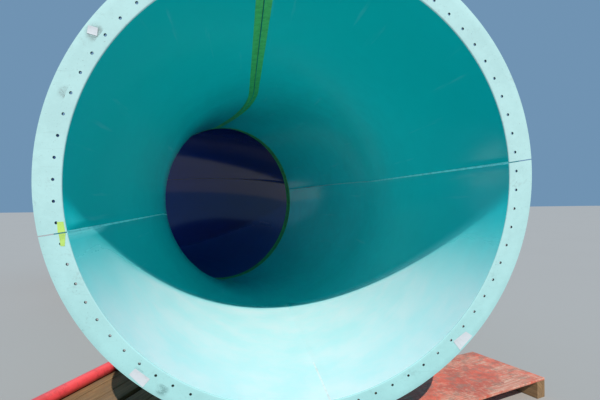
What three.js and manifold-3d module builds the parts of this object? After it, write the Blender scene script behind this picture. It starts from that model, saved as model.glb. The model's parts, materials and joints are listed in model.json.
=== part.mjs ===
// A length of large-bore, fully enclosed water slide tube, laid out on timber dunnage before it is
// lifted: a pale teal section with an open bolting flange, and a dark blue bend bolted to its far end.
// Each section is four moulded quadrant shells with flanges along their edges and round their ends.
// Millimetres, +Z up. The near flange faces -Y, and the tube runs along +Y and then turns left.
import * as THREE from "three";
import { mergeVertices } from "three/addons/utils/BufferGeometryUtils.js";
import Module from "manifold-3d";

const wasm = await Module();
wasm.setup();

// Moulded shells
const BORE_R = 1200;
const WALL = 10;
const EDGE_FLANGE = 60; // height of the flanges along the quadrants' edges
const EDGE_FLANGE_T = 10;
const SEAM_GAP = 6; // between two quadrants, filled with sealant
const SEAL_FIT = 0.8; // gap beside the sealant, wider than others because the seams wind as they fall
const FACETS = 12; // flats in a quadrant of the bore
const FIT = 0.3; // gap between pieces that touch

// End flanges and their bolt holes
const FLANGE_R = 1340;
const FLANGE_T = 12;
const HOLE_CIRCLE_R = 1242;
const HOLE_R = 7;
const HOLES_PER_QUADRANT = 18;
const HOLE_SIDES = 6;

// The two sections' courses: a straight run, a bend to the left, and a short straight end.
// Every cross-section stands upright while the centre line falls or climbs, as it does in a slide.
const END_RUN = 60;
const FALL = 0.125; // fall for each millimetre along the level course
const TEAL = { name: "teal", straight: 2750, radius: 4350, turn: 28.5, fall: FALL, steps: 6, lead: true };
const BLUE = { name: "blue", straight: END_RUN, radius: 4350, turn: 45, fall: -FALL, steps: 9, lead: false };
const ROLL = 8.5; // the near section lies rolled about its own axis
const BLUE_ROLL = 5; // one bolt hole round from the near section, which leads its bend upwards
const GASKET_T = 5;

// Masking tape left from spraying the joints
const TAPE_W = 48;
const TAPE_T = 1;
const TAPE_FROM_SEAM = 4;

// Timber under the tube
const NEAR_CLEARANCE = 260; // from the ground to the underside of the near flange
const GROUND_Z = -FLANGE_R - NEAR_CLEARANCE; // the near flange's centre is the tube's own origin
const SADDLE_IN = 280; // a saddle block's inner and outer side, from the tube's middle
const SADDLE_OUT = 620;
const SADDLE_T = 140;
const SEAT_GAP = 0.4;
const BEARER = { wide: 100, long: 1500, apart: 120 };
const JOINT_BEARER_H = 100;
const FAR_BEARER_H = 250;

// Pallet at the near right: a red plywood panel on three bearers
const RIGHT_PALLET = {
  corner: [2060, 860], turn: 20, long: 1900, wide: 700, panel: 18, bearer_w: 90, bearer_h: 132,
};
// Pallet at the near left: planks on two bearers, with a red rail along its outer edge
const LEFT_PALLET = {
  corner: [-1930, 463], turn: 64, long: 1400, wide: 1450, plank: 38, plank_w: 450, bearer_w: 90,
  bearer_h: 132, rail_r: 44,
};

const rad = THREE.MathUtils.degToRad;
const TILT = Math.atan(FALL * Math.cos(rad(ROLL))); // tipped back until its straight run is level

const paint = {
  teal: { color: 0x2fa9ad, roughness: 0.25, metalness: 0 },
  blue: { color: 0x0b2350, roughness: 0.2, metalness: 0 },
  sealant: { color: 0xd9e2dc, roughness: 0.6, metalness: 0 },
  gasket: { color: 0x24282b, roughness: 0.8, metalness: 0 },
  tape: { color: 0x6fbf3a, roughness: 0.7, metalness: 0 },
  timber: { color: 0xa8875c, roughness: 0.85, metalness: 0 },
  red_paint: { color: 0xb23a30, roughness: 0.75, metalness: 0 },
};

function mesh(name, geometry, finish) {
  const m = new THREE.Mesh(geometry, new THREE.MeshStandardMaterial(paint[finish]));
  m.name = name;
  return m;
}

// Booleans on closed geometries
function solid(geometry) {
  const bare = new THREE.BufferGeometry();
  bare.setAttribute("position", geometry.getAttribute("position"));
  if (geometry.index) bare.setIndex(geometry.index);
  const merged = mergeVertices(bare, 1e-3);
  return new wasm.Manifold(new wasm.Mesh({
    numProp: 3,
    vertProperties: merged.attributes.position.array,
    triVerts: new Uint32Array(merged.index.array),
  }));
}

function geometryOf(manifold) {
  const m = manifold.getMesh();
  const g = new THREE.BufferGeometry();
  g.setAttribute("position", new THREE.BufferAttribute(m.vertProperties, 3));
  g.setIndex(new THREE.BufferAttribute(m.triVerts, 1));
  return g;
}

// The centre line of a section. Its parameter runs evenly through a list of stations, which are
// distances along its level course, so that a straight run takes one step and the bend takes several.
class CentreLine extends THREE.Curve {
  constructor(section, stations) {
    super();
    this.section = section;
    this.stations = stations;
  }

  distance(t) {
    const k = Math.min(Math.floor(t * (this.stations.length - 1) + 1e-9), this.stations.length - 2);
    const part = t * (this.stations.length - 1) - k;
    return THREE.MathUtils.lerp(this.stations[k], this.stations[k + 1], part);
  }

  // Heading to the left of +Y, in radians, at a distance along the line
  heading(s) {
    const { straight, radius, turn } = this.section;
    return THREE.MathUtils.clamp((s - straight) / radius, 0, rad(turn));
  }

  getPoint(t) {
    const { straight, radius, turn } = this.section;
    const s = this.distance(t);
    const h = this.heading(s);
    const bendEnd = straight + radius * rad(turn);
    const before = Math.min(s, straight);
    const after = Math.max(s - bendEnd, 0);
    return new THREE.Vector3(
      radius * (Math.cos(h) - 1) - after * Math.sin(h),
      before + radius * Math.sin(h) + after * Math.cos(h),
      -this.section.fall * s,
    );
  }

  // The level heading, not the slope, so that the cross-sections stay upright
  getTangent(t) {
    const h = this.heading(this.distance(t));
    return new THREE.Vector3(-Math.sin(h), Math.cos(h), 0);
  }

  getPointAt(u) {
    return this.getPoint(u);
  }

  getTangentAt(u) {
    return this.getTangent(u);
  }
}

const sectionLength = (section) => section.straight + section.radius * rad(section.turn) + END_RUN;

function stationsOf(section) {
  const bend = section.radius * rad(section.turn);
  const list = [0];
  for (let k = 0; k <= section.steps; k++) list.push(section.straight + (bend * k) / section.steps);
  list.push(sectionLength(section));
  return list;
}

// A cross-section drawn as (right, up) points, carried along a stretch of the centre line.
// The extrusion's own axes are down and left there.
function carried(section, points, stations) {
  const shape = new THREE.Shape(points.map(([right, up]) => new THREE.Vector2(-up, -right)));
  const extrudePath = new CentreLine(section, stations);
  return new THREE.ExtrudeGeometry(shape, { steps: stations.length - 1, extrudePath });
}

// A point at radius r on the seam at an angle, or beside it by an offset towards larger angles
function besideSeam(angle, r, offset) {
  const c = Math.cos(angle);
  const s = Math.sin(angle);
  return [r * c - offset * s, r * s + offset * c];
}

function arc(r, from, to, count, skipEnds) {
  const list = [];
  for (let k = skipEnds; k <= count - skipEnds; k++) {
    const a = THREE.MathUtils.lerp(from, to, k / count);
    list.push([r * Math.cos(a), r * Math.sin(a)]);
  }
  return list;
}

// Outline of one quadrant shell: the wall, with a flange standing out along each edge
function shellOutline(from) {
  const to = from + Math.PI / 2;
  const half = SEAM_GAP / 2;
  const tip = BORE_R + WALL + EDGE_FLANGE;
  const back = half + EDGE_FLANGE_T;
  return [
    besideSeam(from, BORE_R, half),
    besideSeam(from, tip, half),
    besideSeam(from, tip, back),
    besideSeam(from, BORE_R + WALL, back),
    ...arc(BORE_R + WALL, from, to, FACETS, 1),
    besideSeam(to, BORE_R + WALL, -back),
    besideSeam(to, tip, -back),
    besideSeam(to, tip, -half),
    besideSeam(to, BORE_R, -half),
    ...arc(BORE_R, to, from, FACETS, 1),
  ];
}

// Outline of one quadrant of an end flange, let into the wall by half its thickness
function flangeOutline(from) {
  const to = from + Math.PI / 2;
  const half = SEAM_GAP / 2;
  const root = BORE_R + WALL / 2;
  return [
    besideSeam(from, root, half),
    besideSeam(from, FLANGE_R, half),
    ...arc(FLANGE_R, from, to, FACETS, 1),
    besideSeam(to, FLANGE_R, -half),
    besideSeam(to, root, -half),
    ...arc(root, to, from, FACETS, 1),
  ];
}

// One flange quadrant between two stations of a straight end run, with or without its bolt holes
function flangeQuadrant(section, from, s0, s1, drilled) {
  let body = solid(carried(section, flangeOutline(from), [s0, s1]));
  if (!drilled) return body;
  const pitch = Math.PI / 2 / HOLES_PER_QUADRANT;
  const past = 1;
  for (let k = 0; k < HOLES_PER_QUADRANT; k++) {
    const a = from + pitch * (k + 0.5);
    const centre = [HOLE_CIRCLE_R * Math.cos(a), HOLE_CIRCLE_R * Math.sin(a)];
    const outline = arc(HOLE_R, 0, 2 * Math.PI, HOLE_SIDES, 0).slice(0, HOLE_SIDES);
    const hole = outline.map(([x, y]) => [centre[0] + x, centre[1] + y]);
    body = body.subtract(solid(carried(section, hole, [s0 - past, s1 + past])));
  }
  return body;
}

const QUADRANTS = ["upper_right", "upper_left", "lower_left", "lower_right"];
const SEAMS = ["right", "top", "left", "bottom"];

function shell(section, k) {
  const from = (k * Math.PI) / 2;
  const end = sectionLength(section);
  const wall = solid(carried(section, shellOutline(from), stationsOf(section)));
  const near = flangeQuadrant(section, from, 0, FLANGE_T, section.lead);
  const far = flangeQuadrant(section, from, end - FLANGE_T, end, !section.lead);
  return geometryOf(wall.add(near).add(far));
}

// Sealant standing in the gap between two quadrants' edge flanges
function seamStrip(section, k) {
  const angle = (k * Math.PI) / 2;
  const half = SEAM_GAP / 2 - SEAL_FIT;
  const inner = BORE_R + 1;
  const outer = BORE_R + WALL + EDGE_FLANGE - 4;
  const inset = 2;
  const stations = stationsOf(section);
  stations[0] += inset;
  stations[stations.length - 1] -= inset;
  const outline = [
    besideSeam(angle, inner, -half),
    besideSeam(angle, outer, -half),
    besideSeam(angle, outer, half),
    besideSeam(angle, inner, half),
  ];
  return carried(section, outline, stations);
}

// A strip of tape on the first flat of the bore beside a seam, on the side given by its sign
function tapeStrip(section, seam, side) {
  const a = (seam * Math.PI) / 2;
  const flat = Math.PI / 2 / FACETS;
  const p = besideSeam(a, BORE_R, 0);
  const q = besideSeam(a + side * flat, BORE_R, 0);
  const width = Math.hypot(q[0] - p[0], q[1] - p[1]);
  const at = (along, lift) => {
    const u = along / width;
    const middle = a + (side * flat) / 2;
    return [
      p[0] + (q[0] - p[0]) * u - lift * Math.cos(middle),
      p[1] + (q[1] - p[1]) * u - lift * Math.sin(middle),
    ];
  };
  const outline = [
    at(TAPE_FROM_SEAM, FIT),
    at(TAPE_FROM_SEAM + TAPE_W, FIT),
    at(TAPE_FROM_SEAM + TAPE_W, FIT + TAPE_T),
    at(TAPE_FROM_SEAM, FIT + TAPE_T),
  ];
  const stations = stationsOf(section);
  stations[0] = FLANGE_T;
  stations.pop();
  return carried(section, side > 0 ? outline : outline.reverse(), stations);
}

// A ring round the bore between two stations of a straight end run
function ring(section, inner, outer, s0, s1) {
  const circle = (r) => arc(r, 0, 2 * Math.PI, FACETS * 4, 0).slice(0, FACETS * 4);
  const disc = solid(carried(section, circle(outer), [s0, s1]));
  const past = 1;
  return geometryOf(disc.subtract(solid(carried(section, circle(inner), [s0 - past, s1 + past]))));
}

// A group whose own +Y runs on from the end of a section
function endOf(section) {
  const stations = stationsOf(section);
  const line = new CentreLine(section, stations);
  const g = new THREE.Group();
  g.position.copy(line.getPoint(1));
  g.rotation.z = rad(section.turn);
  return g;
}

function sectionGroup(section) {
  const g = new THREE.Group();
  QUADRANTS.forEach((place, k) => {
    g.add(mesh(`${section.name}_shell_${place}`, shell(section, k), section.name));
  });
  SEAMS.forEach((place, k) => {
    g.add(mesh(`${section.name}_seam_sealant_${place}`, seamStrip(section, k), "sealant"));
  });
  return g;
}

const TAPE_R = BORE_R - FIT / Math.cos(Math.PI / 4 / FACETS);
const tealEnd = sectionLength(TEAL);

const teal = sectionGroup(TEAL);
teal.add(mesh("masking_tape_top_left", tapeStrip(TEAL, 1, 1), "tape"));
teal.add(mesh("masking_tape_top_right", tapeStrip(TEAL, 1, -1), "tape"));
teal.add(mesh("masking_tape_joint_near",
  ring(TEAL, TAPE_R - TAPE_T, TAPE_R, tealEnd - TAPE_W - 1, tealEnd - 1), "tape"));

const joint = endOf(TEAL);
const gasket = mesh("joint_gasket", ring(BLUE, BORE_R + 1, FLANGE_R - 4, FIT, FIT + GASKET_T), "gasket");
joint.add(gasket);

const blue = sectionGroup(BLUE);
blue.add(mesh("masking_tape_joint_far", ring(BLUE, TAPE_R - TAPE_T, TAPE_R, 1, 1 + TAPE_W), "tape"));
blue.position.y = GASKET_T + 2 * FIT;
blue.rotation.y = -rad(BLUE_ROLL);
joint.add(blue);
teal.add(joint);
teal.rotation.set(TILT, -rad(ROLL), 0);

teal.updateMatrixWorld(true);

// The outside of a section as a solid cutter, a little proud of the wall and of the lowest edge flange
function envelope(group, section) {
  const r = BORE_R + WALL + SEAT_GAP / Math.cos(Math.PI / 4 / FACETS);
  const beside = SEAM_GAP / 2 + EDGE_FLANGE_T;
  const outside = QUADRANTS.flatMap((_, k) => {
    const from = (k * Math.PI) / 2;
    const to = from + Math.PI / 2;
    return [besideSeam(from, r, beside), ...arc(r, from, to, FACETS, 1), besideSeam(to, r, -beside)];
  });
  let body = solid(carried(section, outside, stationsOf(section)));
  const bottom = -Math.PI / 2;
  const tip = BORE_R + WALL + EDGE_FLANGE + FIT;
  const half = beside + FIT;
  const foot = [
    besideSeam(bottom, BORE_R, -half),
    besideSeam(bottom, tip, -half),
    besideSeam(bottom, tip, half),
    besideSeam(bottom, BORE_R, half),
  ];
  body = body.add(solid(carried(section, foot, stationsOf(section))));
  return solid(geometryOf(body).applyMatrix4(group.matrixWorld));
}

function box(x, y, z) {
  return new THREE.BoxGeometry(x, y, z);
}

// A group on the ground under the tube, at a distance along a section, facing along the tube
function groundUnder(group, section, s) {
  const line = new CentreLine(section, [s, s + 1]);
  const p = line.getPoint(0).applyMatrix4(group.matrixWorld);
  const q = line.getPoint(1).applyMatrix4(group.matrixWorld);
  const g = new THREE.Group();
  g.position.set(p.x, p.y, GROUND_Z);
  g.rotation.z = Math.atan2(p.x - q.x, q.y - p.y);
  return g;
}

// A pair of saddle blocks, each standing at its own height above the ground and cut to the tube's outside
function saddles(place, ground, leftBase, rightBase, cutter) {
  const width = SADDLE_OUT - SADDLE_IN;
  const tall = FLANGE_R / 2;
  for (const [side, sign, base] of [["left", -1, leftBase], ["right", 1, rightBase]]) {
    const block = box(width, SADDLE_T, tall);
    block.translate((sign * (SADDLE_IN + SADDLE_OUT)) / 2, 0, base + FIT + tall / 2);
    ground.updateMatrix();
    block.applyMatrix4(ground.matrix);
    const cut = solid(block).subtract(cutter);
    const lower = cut.decompose().sort((a, b) => a.boundingBox().min[2] - b.boundingBox().min[2])[0];
    supports.add(mesh(`${place}_saddle_${side}`, geometryOf(lower), "timber"));
  }
}

function bearers(place, ground, tall) {
  for (const [side, sign] of [["front", -1], ["back", 1]]) {
    const bearer = mesh(`${place}_bearer_${side}`, box(BEARER.long, BEARER.wide, tall), "timber");
    bearer.position.set(0, (sign * BEARER.apart) / 2, tall / 2);
    ground.add(bearer);
  }
  supports.add(ground);
}

const supports = new THREE.Group();
const tealOutside = envelope(teal, TEAL);
const blueOutside = envelope(blue, BLUE);
const NEAR_SADDLE_AT = 450;
const JOINT_SADDLE_BACK = 400; // from the joint
const FAR_SADDLE_BACK = 450; // from the open end

const right = new THREE.Group();
{
  const { corner, turn, long, wide, panel, bearer_w, bearer_h } = RIGHT_PALLET;
  right.position.set(corner[0], corner[1], GROUND_Z);
  right.rotation.z = rad(turn);
  const top = mesh("right_pallet_red_panel", box(long, wide, panel), "red_paint");
  top.position.set(-long / 2, wide / 2, bearer_h + panel / 2);
  right.add(top);
  ["outer", "middle", "inner"].forEach((place, k) => {
    const bearer = mesh(`right_pallet_bearer_${place}`, box(bearer_w, wide, bearer_h), "timber");
    bearer.position.set(-bearer_w / 2 - ((long - bearer_w) * k) / 2, wide / 2, bearer_h / 2);
    right.add(bearer);
  });
  supports.add(right);
}

const left = new THREE.Group();
{
  const { corner, turn, long, wide, plank, plank_w, bearer_w, bearer_h, rail_r } = LEFT_PALLET;
  left.position.set(corner[0], corner[1], GROUND_Z);
  left.rotation.z = rad(turn);
  ["front", "back"].forEach((place, k) => {
    const bearer = mesh(`left_pallet_bearer_${place}`, box(bearer_w, wide, bearer_h), "timber");
    bearer.position.set(bearer_w / 2 + (long - bearer_w) * k, -wide / 2, bearer_h / 2);
    left.add(bearer);
  });
  ["outer", "middle", "inner"].forEach((place, k) => {
    const board = mesh(`left_pallet_plank_${place}`, box(long, plank_w, plank), "timber");
    board.position.set(long / 2, -plank_w / 2 - ((wide - plank_w) * k) / 2, bearer_h + plank / 2);
    left.add(board);
  });
  const rail = mesh("left_pallet_red_rail", new THREE.CylinderGeometry(rail_r, rail_r, long, 16), "red_paint");
  rail.rotation.z = Math.PI / 2;
  rail.position.set(long / 2, -rail_r, bearer_h + plank + rail_r + FIT);
  left.add(rail);
  supports.add(left);
}

const nearBase = groundUnder(teal, TEAL, NEAR_SADDLE_AT);
saddles("near", nearBase, LEFT_PALLET.bearer_h + LEFT_PALLET.plank,
  RIGHT_PALLET.bearer_h + RIGHT_PALLET.panel, tealOutside);

const jointBase = groundUnder(teal, TEAL, tealEnd - JOINT_SADDLE_BACK);
saddles("joint", jointBase, JOINT_BEARER_H, JOINT_BEARER_H, tealOutside);
bearers("joint", jointBase, JOINT_BEARER_H);

const farBase = groundUnder(blue, BLUE, sectionLength(BLUE) - FAR_SADDLE_BACK);
saddles("far", farBase, FAR_BEARER_H, FAR_BEARER_H, blueOutside);
bearers("far", farBase, FAR_BEARER_H);

const part = new THREE.Group();
part.add(teal, supports);
part.updateMatrixWorld(true);
const bounds = new THREE.Box3().setFromObject(part, true);
part.position.set(-(bounds.min.x + bounds.max.x) / 2, -(bounds.min.y + bounds.max.y) / 2, -bounds.min.z);

export default part;
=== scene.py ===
"""Dresses a length of enclosed water slide tube that lies on timber dunnage: gelcoat mouldings, sealed seams,
masking tape, bolts, bare labels and weathered timber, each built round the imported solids."""
import json
import math

import bmesh
import bpy
import numpy as np
from mathutils import Matrix


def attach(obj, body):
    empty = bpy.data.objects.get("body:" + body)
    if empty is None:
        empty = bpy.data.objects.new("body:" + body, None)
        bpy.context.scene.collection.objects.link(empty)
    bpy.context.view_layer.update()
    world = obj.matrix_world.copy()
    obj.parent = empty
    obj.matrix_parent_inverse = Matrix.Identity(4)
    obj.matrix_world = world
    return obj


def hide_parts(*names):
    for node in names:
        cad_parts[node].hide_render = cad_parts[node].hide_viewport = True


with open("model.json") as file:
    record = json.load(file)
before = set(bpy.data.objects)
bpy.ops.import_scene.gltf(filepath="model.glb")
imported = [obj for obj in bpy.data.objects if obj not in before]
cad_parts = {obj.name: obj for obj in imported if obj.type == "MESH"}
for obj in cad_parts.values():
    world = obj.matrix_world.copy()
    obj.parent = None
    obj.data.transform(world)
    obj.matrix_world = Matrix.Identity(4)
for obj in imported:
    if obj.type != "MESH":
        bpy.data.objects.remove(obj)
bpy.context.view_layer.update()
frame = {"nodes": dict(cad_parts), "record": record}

bl_info = {
    "name": "Water slide tube",
    "version": (1, 0, 0),
    "blender": (4, 5, 0),
    "location": "View3D > Sidebar > Slide tube",
    "description": "Dresses a length of enclosed water slide tube lying on timber dunnage",
    "category": "Object",
}

# Set out as the solids are, in metres and degrees
BORE = 1.2
HOLE_CIRCLE = 1.242
WALL = 0.010
EDGE_FLANGE = 0.060
EDGE_T = 0.010
FLANGE_T = 0.012
END_RUN = 0.060
HOLES_PER_QUADRANT = 18
HOLE_PITCH = math.pi / 2 / HOLES_PER_QUADRANT
FALL = 0.125
ROLL = 8.5
BLUE_ROLL = 5
BEND_RADIUS = 4.35
TEAL_STRAIGHT = 2.75
TEAL_BEND = 28.5
BLUE_BEND = 45
JOINT_GAP = 0.0056
MOUNT_RADIUS = 1.3
PALLET_BEARER = (0.09, 0.132)
GROUND_BEARER = (1.5, 0.10)

# Small radii of the mouldings, how far their flanges' fillets sink into the wall, and how uneven the outside is
MOUTH_ROUND = 0.006
EDGE_ROUND = 0.0025
TIP_ROUND = 0.0015
ROOT_FILLET = 0.008
FLANGE_FILLET = 0.010
SUNK = 0.005
HAND_LAID = 0.0005

# The flange's face: its row outside the holes, and the square patch, ring of points and worn edge of each hole
FACE_RADIUS = 1.3
PATCH_HALF = 0.020
PATCH_ROWS, PATCH_COLS = 4, 8
HOLE_POINTS = 2 * (PATCH_ROWS + PATCH_COLS)
HOLE_EDGE = 0.0008
ARC_POINTS = 42

# Tape: how far it starts from the mouth and from the seam's middle, how far it stands off the bore where it is
# stuck, how thick it is, how high its blisters get along the seam, and how far its edges stray
TAPE_START, SEAM_LEFT_CLEAR = 0.016, 0.004
STUCK, TAPE_T, BLISTER, TAPE_STRAY = 0.0002, 0.0007, 0.0022, 0.0012

# Sealant: how high a bead stands, how far its edges stray, and how far a sunk one stops short of the bore
CROWN, BEAD_STRAY, BEAD_SUNK = 0.0009, 0.0016, 0.012

# Places of a moulding's finishes; the last is the bolt holes' walls, painted near-black: painted shade
BORE_FINISH, OUTSIDE_FINISH, FLANGE_FINISH, HOLE_SHADE_FINISH = range(4)

# How high the key light stands, how far the mouth leans back, and how far in the key light reaches at the very bottom
KEY_HEIGHT = 42.5
MOUTH_LEAN = 7
KEY_LIGHT_REACH = 2 * BORE * (1 / math.tan(math.radians(KEY_HEIGHT)) - math.tan(math.radians(MOUTH_LEAN)))

# Smudges on the near flange: degrees round from the right seam, radius, size and weight
FLANGE_SMUDGES = ((225.9, 1.291, 0.045, 0.9), (148.0, 1.261, 0.046, 1.0), (133.5, 1.285, 0.055, 0.9),
                  (218.6, 1.262, 0.035, 0.5), (309.0, 1.262, 0.040, 0.4), (75.0, 1.275, 0.040, 0.4))

# What is stuck on the near flange: corners as radius and degrees round from the right seam
TAPE_PATCHES = (((1.207, 177.4), (1.237, 177.3), (1.243, 179.85), (1.207, 179.85)),
                ((1.207, 180.15), (1.240, 180.15), (1.245, 183.0), (1.226, 183.2)))
LABELS = (((1.321, 217.45), (1.274, 217.55), (1.274, 221.95), (1.333, 221.85)),
          ((1.257, 307.7), (1.275, 311.9), (1.328, 312.1), (1.328, 307.3)),
          ((1.328, 133.15), (1.286, 132.3), (1.267, 133.8), (1.310, 134.6)))

# Rings of a bolt's outside as size, height and whether it is a hexagon, whose size is half across its flats
WASHER_RINGS = ((0.0122, 0.0, False), (0.0122, 0.0025, False))
HEAD_RINGS = (*WASHER_RINGS, (0.0092, 0.0026, True), (0.0092, 0.0092, True), (0.0078, 0.0104, True))
NUT_RINGS = (*WASHER_RINGS, (0.0092, 0.0026, True), (0.0092, 0.0120, True), (0.0058, 0.0128, False),
             (0.0052, 0.0190, False))

# The photograph's viewpoint: where it is from the middle of the near flange, its two directions and its lens
EYE = (-0.365, -2.3733, -0.0185)
LOOK = (0.1473, 0.9891, -0.003)
EYE_RIGHT = (0.989, -0.1474, -0.0082)
LENS_MM = 27.0

QUADRANTS = ("upper_right", "upper_left", "lower_left", "lower_right")
SEAMS = ("right", "top", "left", "bottom")
PALLET_PLACES = ("outer", "middle", "inner")

# The upright direction, and the angles of the points of a ring that lies in the bore
UP = np.array([0, 0, 1.0])
AROUND = np.linspace(0, 2 * math.pi, 241)[:-1]


def rotation(axis, degrees):
    """A turn about one axis: the cosine and sine of the angle in the plane across it."""
    a = math.radians(degrees)
    i, j = {"x": (1, 2), "y": (2, 0), "z": (0, 1)}[axis]
    m = np.eye(3)
    m[i, i] = m[j, j] = math.cos(a)
    m[i, j], m[j, i] = -math.sin(a), math.sin(a)
    return m


def pair(a, b):
    """Two arrays spread over one another, as the two parts of each point."""
    return np.stack(np.broadcast_arrays(a, b), -1)


def polar(r, angle):
    return pair(r * np.cos(angle), r * np.sin(angle))


def beside(angle, r, offset):
    """A point at radius r on a seam, moved off it by an offset towards larger angles."""
    c, s = math.cos(angle), math.sin(angle)
    return pair(r * c - offset * s, r * s + offset * c)


def quarter(points):
    """A quarter circle at even turns: 1 - cosine, which grows from 0 to 1, and 1 - sine, which falls from 1 to 0."""
    turn = np.linspace(0, math.pi / 2, points)
    return 1 - np.cos(turn), 1 - np.sin(turn)


def profile(*parts):
    """Runs of points, or single ones, joined into the two coordinates of one profile."""
    return np.concatenate([np.atleast_2d(pair(*part)) for part in parts]).T


def run_along(points):
    """How far along a line of points each one lies: the summed lengths of the steps before it."""
    return np.concatenate([[0], np.cumsum(np.linalg.norm(np.diff(points, axis=0), axis=1))])


def ripple(a, b, seed):
    """A smooth wandering value between about -1 and 1: five crossed sines of unlike pitch."""
    rng = np.random.default_rng(seed)
    total = 0.0
    for k in range(5):
        u, v = rng.uniform(0.6, 1.8, 2) * (k + 1)
        total = total + np.sin(a * u + b * v + rng.uniform(0, 6.28)) / (k + 1)
    return total / 2.28


class Course:
    """A section's centre line: a straight run, a bend to the left and a short straight end. The heading grows evenly
    through the bend, the level distances follow its sine and cosine, and the height falls evenly all the way."""

    def __init__(self, straight, bend, fall, turned, origin):
        self.straight, self.bend, self.fall = straight, math.radians(bend), fall
        self.turned, self.origin = turned, origin
        self.bend_end = straight + BEND_RADIUS * self.bend
        self.length = self.bend_end + END_RUN

    def heading(self, s):
        return np.clip((s - self.straight) / BEND_RADIUS, 0, self.bend)

    def level(self, s):
        """The level right and forward directions at each distance, in the section's own setting."""
        h = self.heading(s)
        return np.stack([np.cos(h), np.sin(h), 0 * h], -1), np.stack([-np.sin(h), np.cos(h), 0 * h], -1)

    def centre(self, s):
        h = self.heading(s)
        after = np.maximum(s - self.bend_end, 0)
        return np.stack([
            BEND_RADIUS * (np.cos(h) - 1) - after * np.sin(h),
            np.minimum(s, self.straight) + BEND_RADIUS * np.sin(h) + after * np.cos(h),
            -self.fall * s,
        ], -1)

    def place(self, points):
        return points @ self.turned.T + self.origin

    def at(self, s):
        return self.place(self.centre(s))

    def axes(self, s):
        """The level right, the level forward and the upright direction at each distance, in the frame."""
        right, forward = (v @ self.turned.T for v in self.level(s))
        return right, forward, np.broadcast_to(self.turned[:, 2], right.shape)

    def carry(self, outline, s):
        """Each (right, up) point of the outline keeps its place beside the centre line while the right axis turns
        with the heading. The outline may differ from one distance to the next."""
        s = np.atleast_1d(s)
        right, _ = self.level(s)
        return self.place(self.centre(s)[:, None] + outline[..., :1] * right[:, None] + outline[..., 1:] * UP)

    def stations(self, start, stop, straight_step, bend_step):
        """Distances along the course: even steps on its straight runs, and even turns in its bend."""
        return np.unique(np.concatenate([
            np.linspace(start, self.straight, max(2, int((self.straight - start) / straight_step) + 1)),
            np.linspace(self.straight, self.bend_end, int(math.degrees(self.bend) / bend_step) + 1),
            np.linspace(self.bend_end, stop, 3),
        ]).round(6))


def set_out():
    """The two sections' courses, hung on the near flange that the record's mount gives."""
    tilt = math.degrees(math.atan(FALL * math.cos(math.radians(ROLL))))
    teal_turn = rotation("x", tilt) @ rotation("y", -ROLL)
    mount = next(m for m in frame["record"]["mounts"] if m["name"] == "near_flange_face")
    half = MOUNT_RADIUS * math.sqrt(0.5)
    near = np.array(mount["pos_m"]) - teal_turn @ np.array([half, 0, half])
    teal = Course(TEAL_STRAIGHT, TEAL_BEND, FALL, teal_turn, near)
    joint_turn = teal_turn @ rotation("z", TEAL_BEND)
    start = teal.at(teal.length) + joint_turn @ np.array([0, JOINT_GAP, 0])
    return teal, Course(END_RUN, BLUE_BEND, -FALL, joint_turn @ rotation("y", -BLUE_ROLL), start)


TEAL, BLUE = set_out()
NEAR = TEAL.origin


def grid_faces(rows, cols, close_rows=False, close_cols=False):
    """Quads between neighbouring points of a grid, and across its closing edges."""
    i, j = np.meshgrid(np.arange(rows if close_rows else rows - 1), np.arange(cols if close_cols else cols - 1),
                       indexing="ij")
    below, beyond = (i + 1) % rows, (j + 1) % cols
    return np.stack([i * cols + j, i * cols + beyond, below * cols + beyond, below * cols + j], -1).reshape(-1, 4)


def border(rows, cols):
    """The rows and columns of the points round the edge of a grid of so many steps each way, in turn."""
    down, across = np.arange(rows), np.arange(cols)
    return (np.concatenate([0 * across, down, 0 * across + rows, rows - down]),
            np.concatenate([across, 0 * down + cols, cols - across, 0 * down]))


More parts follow.
